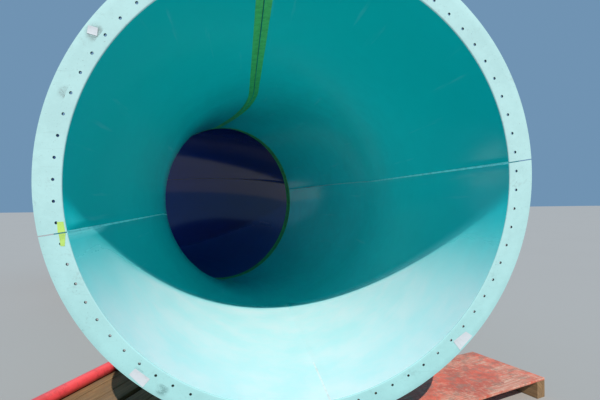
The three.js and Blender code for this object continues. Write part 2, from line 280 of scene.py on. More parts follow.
class Piece:
    """Gathers grids of points, their faces, the finish of each face and two lengths for each point, for one mesh."""

    def __init__(self):
        self.points, self.lay, self.quads, self.quad_finish = [], [], [], []
        self.caps, self.cap_finish, self.count = [], [], 0

    def add(self, points, lay, quads, finish=0):
        start = self.count
        points = points.reshape(-1, 3)
        self.points.append(points)
        self.lay.append(np.zeros((len(points), 2)) if lay is None else lay.reshape(-1, 2))
        self.quads.append(quads + start)
        self.quad_finish.append(np.broadcast_to(finish, len(quads)))
        self.count += len(points)
        return start

    def cap(self, loop, finish=0):
        self.caps.append(loop)
        self.cap_finish.append(finish)

    def tube(self, points, lay, finish=0, cap_finish=0, closed_run=False):
        """Rows of points, each row a closed loop, with a face over each end unless the run itself closes."""
        rows, cols = points.shape[:2]
        start = self.add(points, lay, grid_faces(rows, cols, closed_run, True), finish)
        if not closed_run:
            self.cap(start + np.arange(cols)[::-1], cap_finish)
            self.cap(start + (rows - 1) * cols + np.arange(cols), cap_finish)

    def mesh(self, name, finishes, sharp):
        """The mesh of all that was gathered, without the points that no face uses, its faces turned outwards."""
        quads = np.concatenate(self.quads)
        used, fresh = np.unique(np.concatenate([quads.ravel(), *self.caps]).astype(int), return_inverse=True)
        ends = quads.size + np.cumsum([0] + [len(c) for c in self.caps])
        caps = [part.tolist() for part in np.split(fresh, ends)[1:-1]]
        mesh = bpy.data.meshes.new(name)
        mesh.from_pydata(np.concatenate(self.points)[used].tolist(), [],
                         fresh[:quads.size].reshape(-1, 4).tolist() + caps)
        finish = np.concatenate([*self.quad_finish, self.cap_finish]).astype(np.int32)
        mesh.polygons.foreach_set("material_index", finish)
        corners = np.empty(len(mesh.loops), np.int32)
        mesh.loops.foreach_get("vertex_index", corners)
        lay = np.concatenate(self.lay)[used][corners]
        mesh.uv_layers.new(name="lay").data.foreach_set("uv", lay.ravel().astype(np.float32))
        outward = bmesh.new()
        outward.from_mesh(mesh)
        bmesh.ops.recalc_face_normals(outward, faces=outward.faces)
        outward.to_mesh(mesh)
        outward.free()
        mesh.shade_smooth()
        mesh.set_sharp_from_angle(angle=math.radians(sharp))
        for material in finishes:
            mesh.materials.append(material)
        return mesh


def put_in_scene(data):
    obj = bpy.data.objects.new(data.name, data)
    bpy.context.scene.collection.objects.link(obj)
    return obj


def make(name, finishes, stands_for, slot, *steps, sharp=35):
    """One piece of the object, from steps that each give a shape and its values. It rides on the one body, and takes
    the place of the solid that it stands for, if there is one."""
    piece = Piece()
    for shape, *values in steps:
        shape(piece, *values)
    obj = put_in_scene(piece.mesh(name, finishes, sharp))
    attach(obj, "root")
    if stands_for:
        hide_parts(stands_for)


# Materials

class Nodes:
    """A node tree, and short ways to add nodes whose inputs are values or other nodes' sockets. A pattern follows the
    vector called where, unless it is told to follow another."""

    def __init__(self, tree):
        self.tree = tree
        tree.nodes.clear()

    def put(self, value, socket):
        if isinstance(value, bpy.types.NodeSocket):
            self.tree.links.new(value, socket)
        else:
            socket.default_value = value

    def add(self, kind, inputs=(), **settings):
        node = self.tree.nodes.new(kind)
        node.location = (180 * (len(self.tree.nodes) - 12), 0)
        for key, value in settings.items():
            setattr(node, key, value)
        for key, value in dict(inputs).items():
            self.put(value, node.inputs[key])
        return node

    def noise(self, scale, detail, roughness=0.5, at=None, output=0):
        return self.add("ShaderNodeTexNoise", {"Vector": at or self.where, "Scale": scale, "Detail": detail,
                                               "Roughness": roughness}).outputs[output]

    def mapped(self, at, scale=(1.0, 1.0, 1.0), rotation=(0.0, 0.0, 0.0)):
        return self.add("ShaderNodeMapping", {"Vector": at, "Rotation": rotation, "Scale": scale}).outputs[0]

    def split(self, vector):
        return self.add("ShaderNodeSeparateXYZ", {0: vector}).outputs

    def joined(self, x, y, z=0.0):
        return self.add("ShaderNodeCombineXYZ", {0: x, 1: y, 2: z}).outputs[0]

    def vector(self, operation, a, b=(0.0, 0.0, 0.0)):
        node = self.add("ShaderNodeVectorMath", {0: a, 1: b}, operation=operation)
        return node.outputs["Value" if operation in ("DOT_PRODUCT", "LENGTH", "DISTANCE") else "Vector"]

    def maths(self, operation, a, b=0.0):
        return self.add("ShaderNodeMath", {0: a, 1: b}, operation=operation).outputs[0]

    def times(self, a, b):
        return self.maths("MULTIPLY", a, b)

    def plus(self, a, b):
        return self.maths("ADD", a, b)

    def less(self, a, b):
        return self.maths("SUBTRACT", a, b)

    def ramp(self, value, low, high, to_low=0.0, to_high=1.0):
        return self.add("ShaderNodeMapRange", {0: value, 1: low, 2: high, 3: to_low, 4: to_high},
                        interpolation_type="SMOOTHSTEP").outputs[0]

    def average(self, share, a, b):
        return self.add("ShaderNodeMix", {0: share, 2: a, 3: b}, data_type="FLOAT").outputs[0]

    def blend(self, mask, low, high):
        return self.add("ShaderNodeMix", {0: mask, 6: low, 7: high}, data_type="RGBA").outputs[2]

    def tones(self, mask, colour, low, high):
        """One colour at two strengths, as the mask has it."""
        return self.blend(mask, rgba(colour, low), rgba(colour, high))

    def over(self, base, mask, share, colour, gain=1.0):
        """A colour laid over the base: its full share where the mask is full."""
        return self.blend(mask if share == 1 else self.times(mask, share), base, rgba(colour, gain))

    def upward(self):
        return self.split(self.add("ShaderNodeNewGeometry").outputs["Normal"])[2]


class Finish(Nodes):
    """A fresh material with its Principled shader. It follows the object's coordinates, or the lengths that a piece
    carries, called lay."""

    def __init__(self, name):
        self.material = bpy.data.materials.new(name)
        self.material.use_nodes = True
        super().__init__(self.material.node_tree)
        out = self.add("ShaderNodeOutputMaterial")
        self.shader = self.add("ShaderNodeBsdfPrincipled")
        self.tree.links.new(self.shader.outputs[0], out.inputs[0])
        self.where = self.add("ShaderNodeTexCoord").outputs["Object"]
        self.lay = self.add("ShaderNodeUVMap", uv_map="lay").outputs[0]

    def done(self, colour, roughness, height=None, distance=0.0, strength=0.0, **more):
        """The material, with its shader fed and its surface bumped where a height is given."""
        if height is not None:
            bump = self.add("ShaderNodeBump", {"Height": height, "Distance": distance, "Strength": strength})
            more["Normal"] = bump.outputs[0]
        for key, value in {"Base Color": colour, "Roughness": roughness, **more}.items():
            self.put(value, self.shader.inputs[key])
        return self.material


def rgba(colour, gain=1.0):
    return (*(c * gain for c in colour[:3]), 1.0)


def named(name, finish, *given):
    """The finish of this name, made the first time that it is asked for."""
    return bpy.data.materials.get(name) or finish(name, *given)


def effect(*outputs, **inputs):
    """Makes a shader node group of a function of sockets. The group has the function's name, a vector to follow and
    these named inputs, vectors where None is given and else numbers with their defaults. It is built once, and a call
    places it with the values of its inputs in that order."""
    inputs = {"Vector": None, **inputs}

    def build(fill):
        tree = bpy.data.node_groups.new(fill.__name__, "ShaderNodeTree")
        for label, value in inputs.items():
            kind = "NodeSocketVector" if value is None else "NodeSocketFloat"
            socket = tree.interface.new_socket(name=label, in_out="INPUT", socket_type=kind)
            if value is not None:
                socket.default_value = value
        for label in outputs:
            tree.interface.new_socket(name=label, in_out="OUTPUT", socket_type="NodeSocketFloat")
        n = Nodes(tree)
        given, out = n.add("NodeGroupInput").outputs, n.add("NodeGroupOutput").inputs
        n.where, *values = (given[label] for label in inputs)
        for label, value in zip(outputs, fill(n, *values)):
            n.put(value, out[label])
        return tree

    def placing(fill):
        def place(n, *values, at=None, output=outputs[0]):
            group = bpy.data.node_groups.get(fill.__name__) or build(fill)
            given = zip(inputs, (at or n.where, *values))
            return n.add("ShaderNodeGroup", given, node_tree=group).outputs[output]
        return place
    return placing


@effect("Mask", Scale=3.0, Low=0.45, High=0.6)
def blotches(n, scale, low, high):
    """Soft uneven patches: two noises, the finer one breaking up the edges of the broader."""
    both = n.average(0.3, n.noise(scale, 6.0, 0.6), n.noise(n.times(scale, 9.0), 3.0))
    return [n.ramp(both, low, high)]


@effect("Mask", Amount=0.5, Scale=6.0, From=0.1, To=0.9)
def settled_dust(n, amount, scale, least, most):
    """Dust that settles where a surface faces up: the upward part of its normal, broken up by noise."""
    level = n.ramp(n.upward(), least, most)
    broken = n.ramp(n.noise(scale, 8.0, 0.65), 0.3, 0.7, 0.8, 1.0)
    return [n.times(n.times(level, broken), amount)]


@effect("Grain", "Weather", Fineness=60.0, Seed=0.0)
def wood_grain(n, fineness, seed):
    """Sawn timber: noise drawn out along the piece and bent by a broader noise for the grain, and broad noise for
    how far it has weathered."""
    along, across, _ = n.split(n.where)
    drawn = n.joined(n.times(along, 0.05), across, seed)
    bend = n.vector("MULTIPLY", n.noise(9.0, 2.0, at=drawn, output="Color"), (0.02, 0.02, 0.02))
    grain = n.noise(fineness, 6.0, 0.7, at=n.vector("ADD", drawn, bend))
    return [n.ramp(grain, 0.3, 0.7), n.ramp(n.noise(4.0, 5.0), 0.35, 0.7)]


@effect("Mask", Scale=2.0, Sharpness=0.64)
def scuffs(n, scale, sharpness):
    """Hairline rubs in two directions: noise squeezed hard along one axis, kept only at its crest."""
    crest = n.plus(sharpness, 0.08)
    rubs = [n.ramp(n.noise(scale, 4.0, at=n.mapped(n.where, stretch, (0.3, turn, turn))), sharpness, crest)
            for turn, stretch in ((0.5, (1.0, 26.0, 26.0)), (2.1, (30.0, 1.4, 30.0)))]
    return [n.maths("MAXIMUM", *rubs)]


@effect("Mask", Pitch=0.1, Circle=BORE, Inner=0.007, Outer=0.018)
def hole_halo(n, pitch, circle, inner, outer):
    """Dust round evenly spaced holes on a circle: a mask that falls away from the nearest hole's edge. The vector's
    first part is the length round at a given radius and its second is the distance from the middle."""
    length, radius, _ = n.split(n.where)
    place = n.maths("FRACT", n.maths("DIVIDE", length, pitch))
    away = n.joined(n.times(n.less(place, 0.5), pitch), n.less(radius, circle))
    return [n.ramp(n.vector("LENGTH", away), inner, outer, 1.0, 0.0)]


@effect("Mask", Centre=None, Size=0.03)
def soft_spot(n, centre, size):
    """A soft round patch: one at its centre, falling smoothly to none at its size."""
    away = n.vector("DISTANCE", n.vector("MULTIPLY", n.where, (1.0, 1.0, 0.0)), centre)
    return [n.ramp(n.maths("DIVIDE", away, size), 0.2, 1.0, 1.0, 0.0)]


def bore_gelcoat(name, course, colour, dust_and_sun_pallor, dust):
    """Glossy gelcoat: uneven depth of colour, rubs and a slow waviness. As far in as the key light comes down over the
    leaning mouth, that reach times the upward part of the wall's normal, the bottom is painted pale: partly dust,
    partly a painted highlight for that sunlit patch. The distance in is how far a point lies from the course's start
    along its first level heading. In the shadow of the mouth's top the colour is painted darker near the mouth:
    painted shade."""
    n = Finish(name)
    from_start = n.vector("SUBTRACT", n.where, tuple(course.origin))
    inwards = n.vector("DOT_PRODUCT", from_start, tuple(course.turned[:, 1]))
    # Painted light: one in the shadow that the mouth's top casts from the key light, none where the key light reaches
    in_mouth_shadow = n.ramp(n.less(inwards, n.times(n.upward(), KEY_LIGHT_REACH)), -0.16, 0.14)
    # Dust and painted highlight: the pale mask is kept to where the key light reaches
    settled = n.times(settled_dust(n, dust, 3.0, 0.0, 0.65), n.less(1.0, in_mouth_shadow))
    wiped = n.noise(1.0, 4.0, at=n.mapped(n.lay, (0.9, 11.0, 1.0)))
    base = n.tones(blotches(n, 1.1, 0.35, 0.65), colour, 0.95, 1.04)
    # Painted shade: in the mouth's shadow the colour darkens towards the mouth, holding back light bounced off the lit
    # bottom
    base = n.over(base, n.times(n.ramp(inwards, 0.0, 3.2, 1.0, 0.0), in_mouth_shadow), 1, colour, 0.62)
    base = n.over(base, n.ramp(wiped, 0.62, 0.75, 0.0, 0.05), 1, dust_and_sun_pallor)
    # The pale dust, which also stands in for the glare of the sunlit bottom: painted highlight
    base = n.over(base, settled, 1, dust_and_sun_pallor)
    rough = n.plus(n.times(settled, 0.45), n.ramp(wiped, 0.5, 0.75, 0.13, 0.19))
    return n.done(base, rough, n.plus(n.noise(2.2, 2.0), n.times(n.noise(95.0, 2.0), 0.004)), 0.003, 0.5)


def flange_gelcoat(name, colour, grime, beneath):
    """A dusty flange face: pale gelcoat with grey hand marks, rubs and specks, deeper and darker towards the bottom.
    Its pallor is partly dust, partly the painted look of full sun.
    """
    n = Finish(name)
    chalk, broken = blotches(n, 3.4, 0.38, 0.62), blotches(n, 22.0, 0.38, 0.62)
    base = n.tones(chalk, colour, 0.97, 1.03)
    base = n.over(base, blotches(n, 7.0, 0.57, 0.66), 0.28, grime)
    base = n.over(base, scuffs(n, 3.0, 0.66), 0.12, grime, 0.7)
    base = n.over(base, n.ramp(n.noise(120.0, 2.0), 0.66, 0.76, 0.0, 0.35), 1, grime, 0.6)
    halo = hole_halo(n, HOLE_PITCH * BORE, HOLE_CIRCLE, at=n.lay)
    base = n.over(base, n.times(halo, broken), 0.65, grime, 0.8)
    for turn, radius, size, weight in FLANGE_SMUDGES:
        spot = soft_spot(n, (math.radians(turn) * BORE, radius, 0.0), size, at=n.lay)
        base = n.over(base, n.times(spot, n.ramp(broken, 0.0, 0.8, 0.25, 1.0)), weight, grime, 0.55)
    # Deeper and darker towards the bottom
    base = n.over(base, n.ramp(n.split(n.where)[2], 0.3, 1.9, 0.20, 0.0), 1, beneath, 0.65)
    return n.done(base, n.ramp(chalk, 0, 1, 0.52, 0.78), n.noise(60.0, 5.0), 0.0012, 0.5)


def laminate(name, colour, pale):
    """Hand-laid laminate under a flow coat: chopped strands show as crossed fibres, with resin-rich patches."""
    n = Finish(name)
    strands = 0.0
    for turn in (0.3, 1.4, 2.4):
        fibres = n.noise(2.0, 3.0, at=n.mapped(n.where, (9.0, 120.0, 120.0), (turn, 0.7 * turn, turn)))
        strands = n.maths("MAXIMUM", n.ramp(fibres, 0.52, 0.7), strands)
    rich = blotches(n, 1.6, 0.4, 0.62)
    base = n.over(n.tones(rich, colour, 0.85, 1.15), strands, 0.3, pale)
    base = n.over(base, settled_dust(n, 0.4, 5.0, 0.2, 1.0), 1, pale, 0.9)
    height = n.plus(n.times(strands, 0.18), n.noise(11.0, 4.0))
    return n.done(base, n.ramp(rich, 0, 1, 0.55, 0.38), height, 0.003, 0.6)


def sealant_finish(name, colour):
    """Gun-applied sealant: slightly grubby, with a fine unevenness."""
    n = Finish(name)
    grub = blotches(n, 14.0, 0.45, 0.65)
    rough = n.ramp(grub, 0, 1, 0.35, 0.6)
    return n.done(n.tones(grub, colour, 1.0, 0.78), rough, n.noise(130.0, 2.0), 0.001, 0.5)


def tape_finish(name, colour):
    """Creped paper tape: fine ridges across its width, and darker patches."""
    n = Finish(name)
    patch = blotches(n, 18.0, 0.42, 0.62)
    along, across, _ = n.split(n.lay)
    crepe = n.noise(900.0, 2.0, at=n.joined(along, n.times(across, 0.12)))
    base = n.over(n.tones(patch, colour, 1.0, 0.78), n.ramp(crepe, 0.5, 0.8, 0.0, 0.3), 1, colour, 0.6)
    return n.done(base, n.ramp(patch, 0, 1, 0.6, 0.78), crepe, 0.0006, 0.6)


def timber_finish(name, colour, grey, seed):
    """Weathered sawn softwood: grain along the piece, grey patches, dark stains."""
    n = Finish(name)
    grain = wood_grain(n, 70.0, seed, at=n.lay)
    base = n.tones(grain, colour, 0.55, 1.2)
    base = n.over(base, wood_grain(n, 70.0, seed, output="Weather"), 0.6, grey)
    base = n.over(base, blotches(n, 6.0, 0.56, 0.68), 0.55, colour, 0.3)
    return n.done(base, n.ramp(grain, 0, 1, 0.9, 0.72), grain, 0.0016, 0.8)


def block_finish(name, colour, grey):
    """Rough block timber whose grain runs level through it, with saw marks."""
    n = Finish(name)
    grain = wood_grain(n, 55.0, 3.0, at=n.mapped(n.where, rotation=(0.0, 0.0, -0.5)))
    base = n.tones(grain, colour, 0.6, 1.15)
    base = n.over(base, wood_grain(n, 55.0, 5.0, output="Weather"), 0.55, grey)
    saw = n.add("ShaderNodeTexWave", {"Vector": n.where, "Scale": 22.0, "Distortion": 5.0, "Detail": 3.0})
    height = n.plus(grain, n.times(saw.outputs[0], 0.4))
    return n.done(base, n.ramp(grain, 0, 1, 0.9, 0.75), height, 0.0014, 0.8)


def red_ply_finish(name, colour, wood):
    """Red paint worn through to the veneer in patches and along the grain, under a film of dust and dried mud."""
    n = Finish(name)
    worn = blotches(n, 4.5, 0.42, 0.56)
    grain = wood_grain(n, 80.0, 8.0, at=n.lay)
    paint = n.tones(blotches(n, 2.0, 0.4, 0.6), colour, 0.7, 1.2)
    base = n.blend(n.times(worn, n.ramp(grain, 0.2, 0.9, 0.35, 1.0)), paint, n.tones(grain, wood, 0.6, 1.1))
    base = n.over(base, settled_dust(n, 0.16, 9.0, 0.6, 1.0), 1, (0.66, 0.45, 0.36))
    base = n.over(base, scuffs(n, 4.0, 0.6), 0.4, (0.72, 0.46, 0.36))
    base = n.over(base, blotches(n, 13.0, 0.50, 0.58), 0.6, (0.33, 0.21, 0.16))
    return n.done(base, n.ramp(worn, 0, 1, 0.6, 0.9), n.plus(n.times(worn, -1.2), grain), 0.0008, 0.8)


def ply_edge_finish(name, colour):
    """The panel's cut edge: level veneers in turn light and dark."""
    n = Finish(name)
    plies = n.maths("PINGPONG", n.split(n.where)[2], 0.002)
    torn = n.noise(60.0, 4.0)
    base = n.tones(n.ramp(plies, 0.0008, 0.0013), colour, 0.45, 1.0)
    return n.done(n.over(base, n.ramp(torn, 0.4, 0.75, 0.0, 0.5), 1, colour, 0.5), 0.85, torn, 0.0015, 0.8)


def enamel_finish(name, colour):
    """Brushed enamel on a steel bar: chips down to primer, and dust."""
    n = Finish(name)
    chips, settled = blotches(n, 26.0, 0.62, 0.66), settled_dust(n, 0.16, 12.0, 0.3, 1.0)
    base = n.tones(blotches(n, 5.0, 0.4, 0.6), colour, 0.8, 1.15)
    base = n.over(n.over(base, chips, 1, (0.14, 0.10, 0.09)), settled, 1, (0.7, 0.36, 0.34))
    return n.done(base, n.plus(n.times(settled, 0.5), 0.32), chips, 0.0005, 0.8)


def zinc_finish(name):
    """Galvanised steel: grey spangle, dull patches."""
    n = Finish(name)
    spangle = n.add("ShaderNodeTexVoronoi", {"Vector": n.where, "Scale": 260.0}).outputs["Color"]
    base = n.blend(n.split(spangle)[0], rgba((0.50, 0.52, 0.54)), rgba((0.66, 0.68, 0.70)))
    return n.done(base, n.ramp(blotches(n, 20.0, 0.45, 0.65), 0, 1, 0.34, 0.6), Metallic=1.0)


def rubber_finish(name):
    """Black rubber with a bloom."""
    n = Finish(name)
    return n.done(n.blend(blotches(n, 9.0, 0.4, 0.7), rgba((0.016, 0.016, 0.018)), rgba((0.05, 0.05, 0.052))), 0.75)


def paper_finish(name, colour):
    """A bare paper label, a little soiled, creased by its own weight."""
    n = Finish(name)
    soil = n.times(blotches(n, 40.0, 0.5, 0.7), 0.5)
    return n.done(n.tones(soil, colour, 1.0, 0.6), 0.7, n.noise(35.0, 3.0), 0.002, 0.5)


def floor_finish(name, colour):
    """A plain pale studio floor with the faintest unevenness."""
    n = Finish(name)
    return n.done(n.tones(n.noise(0.3, 3.0), colour, 0.98, 1.02), 0.9)


# Shapes

def shell_outline(size, angle):
    """One quadrant's cross-section as a closed loop. The bore and the outside are arcs; each edge is a flange whose
    corners are quarter circles and whose root is a quarter-circle fillet. Returns the points, their finishes, how far
    along the loop they lie, and which of them are the outside's."""
    bore, outside, half = size.bore_radius, size.bore_radius + WALL, size.seam_gap / 2
    tip, back = outside + EDGE_FLANGE, half + EDGE_T
    c, s = quarter(4)
    r, off = profile((bore + EDGE_ROUND * c, half + EDGE_ROUND * s), (tip - TIP_ROUND * s, half + TIP_ROUND * c),
                     (tip - TIP_ROUND * c, back - TIP_ROUND * s),
                     (outside + ROOT_FILLET * s, back + ROOT_FILLET * c))
    end = angle + math.pi / 2
    lead_in = (half + EDGE_ROUND) / bore
    lead_out = (back + ROOT_FILLET) / outside
    points = np.concatenate([
        beside(angle, r, off)[::-1],
        polar(bore, np.linspace(angle + lead_in, end - lead_in, ARC_POINTS + 2)[1:-1]),
        beside(end, r, -off),
        polar(outside, np.linspace(end - lead_out, angle + lead_out, ARC_POINTS + 2)[1:-1]),
    ])
    edge, rounded = len(r), len(c)
    finish = np.full(len(points), OUTSIDE_FINISH)
    finish[edge - rounded - 1:edge + ARC_POINTS + rounded] = BORE_FINISH
    return points, finish, run_along(points), slice(2 * edge + ARC_POINTS, len(points))


def shell_wall(piece, course, size, angle, seed):
    """The wall and its edge flanges, carried from one mouth of the section to the other. The outside wanders by half
    a millimetre, as laminate laid by hand does."""
    points, finish, run, outer = shell_outline(size, angle)
    s = course.stations(MOUTH_ROUND, course.length - MOUTH_ROUND, straight_step=0.125, bend_step=0.9)
    outline = np.repeat(points[None], len(s), 0)
    lift = HAND_LAID * ripple(s[:, None] * 9, run[None, outer] * 9, seed)
    outline[:, outer] *= 1 + (lift / size.bore_radius)[..., None]
    piece.tube(course.carry(outline, s), pair(s[:, None], run), np.tile(finish, len(s) - 1), OUTSIDE_FINISH)


def end_flange(piece, course, size, angle, face_at, inward, drilled):
    """One quadrant of an end flange. A closed profile of radii and depths is turned through the quadrant: a rounded
    mouth, the face, the rim, the back and a fillet that sinks into the wall. In a drilled flange each hole is a ring
    of faces from a patch of the face to a circle, down through the flange, and out to the same patch on the back."""
    bore, rim, circle = size.bore_radius, size.flange_radius, size.hole_circle_radius
    band = circle + np.linspace(-PATCH_HALF, PATCH_HALF, PATCH_ROWS + 1)
    mouth_c, mouth_s = quarter(6)
    c, s = quarter(3)
    front = ((bore + MOUTH_ROUND * mouth_c, MOUTH_ROUND * mouth_s),)
    face = ((band, 0), (FACE_RADIUS, 0), (rim - TIP_ROUND * s, TIP_ROUND * c),
            (rim - TIP_ROUND * c, FLANGE_T - TIP_ROUND * s), (FACE_RADIUS, FLANGE_T))
    back = ((band[::-1], FLANGE_T), (bore + WALL + FLANGE_FILLET * s, FLANGE_T + FLANGE_FILLET * c),
            (bore + SUNK, FLANGE_T + FLANGE_FILLET + 0.001), (bore + SUNK, MOUTH_ROUND + 0.001))
    r, depth = profile(*front, *face, *back)
    face_row, back_row = len(mouth_c), len(profile(*front, *face)[0])
    lip_rows, rows_seen = 3, face_row + 8
    rows, cols = len(r), HOLES_PER_QUADRANT * PATCH_COLS + 1
    slip = np.arcsin(size.seam_gap / 2 / r)[:, None]
    turn = angle + slip + np.linspace(0, 1, cols) * (math.pi / 2 - 2 * slip)
    quads = grid_faces(rows, cols, close_rows=True)
    row = np.repeat(np.arange(rows), cols - 1)
    finish = np.where(row < lip_rows, FLANGE_FINISH if drilled else BORE_FINISH,
                      np.where(row < rows_seen, FLANGE_FINISH, OUTSIDE_FINISH))
    if drilled:
        patch = np.arange(PATCH_ROWS)
        solid = ~np.isin(row, [face_row + patch, back_row + patch])
        quads, finish = quads[solid], finish[solid]
    start = piece.add(course.carry(polar(r[:, None], turn), face_at + inward * depth), pair(turn * bore, r[:, None]),
                      quads, finish)
    for column in (0, cols - 1):
        piece.cap(start + np.arange(rows) * cols + column, OUTSIDE_FINISH)
    if not drilled:
        return
    out, along = border(PATCH_ROWS, PATCH_COLS)
    hole = np.arange(HOLES_PER_QUADRANT)[:, None]
    at = hole * PATCH_COLS + along
    phase = math.radians(210) + np.arange(HOLE_POINTS) * 2 * math.pi / HOLE_POINTS
    middle = angle + (hole + 0.5) * HOLE_PITCH
    widen, down = np.array([[HOLE_EDGE, 0.0, 0.0], [0.0, HOLE_EDGE, FLANGE_T]])
    reach = (size.hole_radius + widen)[:, None, None]
    rings = polar(circle + reach * np.sin(phase), middle) + polar(reach * np.cos(phase), middle + math.pi / 2)
    circles = piece.count + np.arange(rings.size // 2).reshape(rings.shape[:-1])
    strip = np.concatenate([[start + (face_row + out) * cols + at], circles,
                            [start + (back_row + PATCH_ROWS - out) * cols + at]])
    turned = np.roll(strip, -1, axis=2)
    walls = np.stack([strip[:-1], turned[:-1], turned[1:], strip[1:]], -1).reshape(-1, 4)
    finish = np.repeat([FLANGE_FINISH, HOLE_SHADE_FINISH, HOLE_SHADE_FINISH, OUTSIDE_FINISH], at.size)
    piece.add(course.carry(rings.reshape(3, -1, 2), face_at + inward * down), None, walls - piece.count, finish)


def seam_bead(piece, course, size, angle, sunk, bare, seed):
    """Sealant standing in a seam: a strip between the edge flanges that spreads over the bore's rounded corners in a
    low hump, its edges wandering. A sunk bead stops short of the bore. A length from the mouth may stay bare, and
    the faces beyond it take the second finish."""
    bore, half = size.bore_radius, size.seam_gap / 2 - 0.0004
    outer = bore + WALL + EDGE_FLANGE - 0.003
    margin = MOUTH_ROUND + 0.003
    s = course.stations(margin, course.length - margin, straight_step=0.04, bend_step=0.5)
    if sunk:
        r = np.array([bore + BEAD_SUNK] * 3 + [outer] * 3)
        off = np.array([-half, 0, half, half, 0, -half])
        spread = np.zeros(6)
    else:
        hump = np.linspace(-1, 1, 7)
        root, rim = bore + 0.004, bore + 0.0002
        r, off = profile((root, -half), (rim - CROWN * (1 - hump ** 2), size.bead_width / 2 * hump), (root, half),
                         (outer, half), (outer, -half))
        spread = np.concatenate([[0], hump, [0, 0, 0]])
    wander = ripple(s * 30, 0, seed)
    outline = beside(angle, r, off + spread * BEAD_STRAY * wander[:, None])
    run = run_along(pair(r, off))
    piece.tube(course.carry(outline, s), pair(s[:, None], run), np.repeat((s[1:] > bare).astype(int), len(r)))


def tape_strip(piece, course, size, angle, side, seed):
    """Tape lying along the bore beside a seam: its width wanders a little, and it lifts off in small blisters."""
    s = course.stations(TAPE_START, course.length - END_RUN, straight_step=0.03, bend_step=0.4)
    across = np.linspace(0, 1, 13)
    near = SEAM_LEFT_CLEAR + 0.0008 * ripple(s * 6, 0, seed)
    wide = size.tape_width + TAPE_STRAY * ripple(s * 8, 3, seed + 1)
    off = near[:, None] + wide[:, None] * across
    blister = np.clip(ripple(s[:, None] * 40, across * 5, seed + 2) - 0.45, 0, 1)
    lift = STUCK + TAPE_T + BLISTER * blister * np.sin(math.pi * across)
    turn = angle + side * off / size.bore_radius
    top, under = polar(size.bore_radius - lift, turn), polar(size.bore_radius - STUCK, turn)
    outline = np.concatenate([top, under[:, ::-1]], 1)
    piece.tube(course.carry(outline, s), pair(s[:, None], np.concatenate([off[0], off[0][::-1]])))


def bore_ring(piece, course, r, s, shift=0 * AROUND):
    """A closed profile of radii and distances turned all the way round the bore. The radii may change round it, and
    each place round it may be shifted along the bore."""
    _, forward, _ = course.axes(s)
    grid = course.carry(polar(r, AROUND), s) + forward[:, None] * shift[:, None]
    piece.tube(grid.transpose(1, 0, 2), pair(AROUND[:, None] * BORE, s), closed_run=True)


def tape_ring(piece, course, size, start, seed):
    """A band of tape round the bore: flat across, its two edges wandering, lifting off in small blisters."""
    c, s = np.cos(AROUND), np.sin(AROUND)
    across = start + np.linspace(0, 1, 5) * (size.tape_width - 0.002)
    blister = STUCK + TAPE_T + 0.0007 * np.clip(ripple(c * 22, s * 22, seed + 1), 0, 1)
    lift = np.repeat([blister, STUCK + 0 * blister], 5, 0)
    bore_ring(piece, course, size.bore_radius - lift, np.concatenate([across, across[::-1]]),
              TAPE_STRAY * ripple(c * 9, s * 9, seed))


def gasket(piece, size):
    """The ring between the sections: a flat band between the flanges, bevelled both ways at its two edges."""
    inner, outer, bevel, half = size.bore_radius + 0.004, size.flange_radius - 0.006, 0.002, JOINT_GAP / 2 - 0.0004
    r = np.array([inner - bevel, inner, outer, outer + bevel, outer, inner])
    s = -JOINT_GAP / 2 + half * np.array([0, -1, -1, 0, 1, 1])
    bore_ring(piece, BLUE, r[:, None], s)


def fasteners(piece, places, outward, sideways, rings, seed):
    """One fastener end at each place: rings of twelve points round an axis, six of them pushed out where the ring is
    a hexagon, each fastener turned by its own angle."""
    count, sides = len(places), 12
    spin = np.random.default_rng(seed).uniform(0, math.pi / 3, count)
    third = np.cross(outward, sideways)
    k = np.arange(sides)
    turn = (spin[:, None] + k * math.pi / 6)[..., None]
    points = np.empty((count, len(rings), sides, 3))
    for row, (reach, height, hexagon) in enumerate(rings):
        r = (reach * np.where((k % 2 == 0) & hexagon, 2 / math.sqrt(3), 1.0))[:, None]
        points[:, row] = ((places + outward * height)[:, None] + sideways[:, None] * r * np.cos(turn)
                          + third[:, None] * r * np.sin(turn))
    each = len(rings) * sides
    starts = np.arange(count) * each
    quads = starts[:, None, None] + grid_faces(len(rings), sides, close_cols=True)
    for base in piece.add(points, None, quads.reshape(-1, 4)) + starts:
        piece.cap(base + np.arange(sides)[::-1])
        piece.cap(base + each - sides + np.arange(sides))


def seam_bolts(piece, course, size, seed):
    """Bolts through the edge flanges, evenly spaced along each seam, heads on one side and nuts on the other."""
    first, room, middle_of_edge = 0.13, 0.3, 0.56
    s = np.linspace(first, course.length - first, int((course.length - room) / size.bolt_spacing) + 1)
    right, _, up = course.axes(s)
    back = size.seam_gap / 2 + EDGE_T
    for k in range(4):
        c, sn = math.cos(k * math.pi / 2), math.sin(k * math.pi / 2)
        radial, across = c * right + sn * up, c * up - sn * right
        middle = course.at(s) + radial * (size.bore_radius + WALL + EDGE_FLANGE * middle_of_edge)
        fasteners(piece, middle + across * back, across, radial, HEAD_RINGS, seed + k)
        fasteners(piece, middle - across * back, -across, radial, NUT_RINGS, seed + 9 + k)


def joint_bolts(piece, size):
    """Bolts through the joint, one in each hole: heads behind the blue flange and nuts behind the teal one."""
    around = (np.arange(4 * HOLES_PER_QUADRANT)[:, None] + 0.5) * HOLE_PITCH
    for course, at, sign, rings in ((TEAL, TEAL.length - FLANGE_T, -1, NUT_RINGS), (BLUE, FLANGE_T, 1, HEAD_RINGS)):
        right, forward, up = course.axes(at)
        radial = np.cos(around) * right + np.sin(around) * up
        fasteners(piece, course.at(at) + radial * size.hole_circle_radius,
                  np.broadcast_to(forward * sign, radial.shape), radial, rings, 40 + sign)


